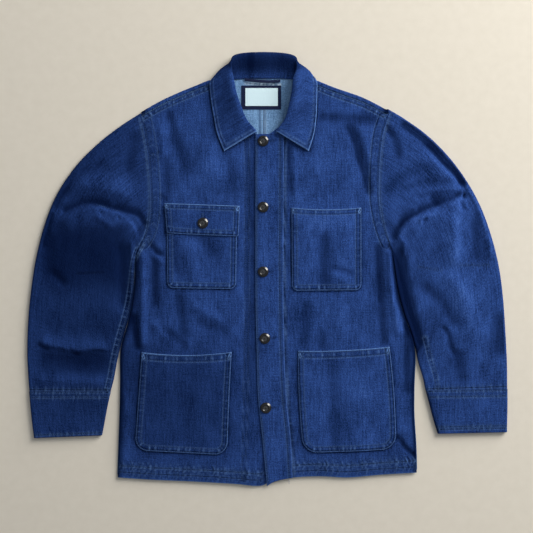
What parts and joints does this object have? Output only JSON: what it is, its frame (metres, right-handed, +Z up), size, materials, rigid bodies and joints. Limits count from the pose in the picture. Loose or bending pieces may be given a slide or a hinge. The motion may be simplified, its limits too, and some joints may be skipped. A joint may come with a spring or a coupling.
{
  "type": "chore jacket",
  "caption": "Denim chore jacket laid flat, buttoned, with a folded collar, patch pockets on chest and hips, a flap pocket and cuffed sleeves.",
  "frame": {"origin": "on the surface the jacket lies on, below the middle of its outline", "axes": "+X towards the jacket's own left sleeve, +Y from hem to collar, +Z up from the surface"},
  "size_m": [0.889, 0.8005, 0.0236],
  "materials": {
    "denim": "indigo twill, lightly worn",
    "patch_cloth": "dark navy plain cotton",
    "label_cloth": "off-white woven tape, bare",
    "button": "polished black"
  },
  "bodies": {
    "root": {"back_right": "denim", "back_left": "denim", "front_right": "denim", "front_left": "denim", "front_placket": "denim", "chest_pocket_right": "denim", "chest_pocket_left": "denim", "hip_pocket_right": "denim", "hip_pocket_left": "denim", "chest_pocket_flap": "denim", "sleeve_right": "denim", "sleeve_left": "denim", "cuff_right": "denim", "cuff_left": "denim", "collar": "denim", "neck_patch": "patch_cloth", "neck_label": "label_cloth", "hanger_loop": "patch_cloth", "front_button_1": "button", "front_button_2": "button", "front_button_3": "button", "front_button_4": "button", "front_button_5": "button", "flap_button": "button"}
  },
  "joints": []
}
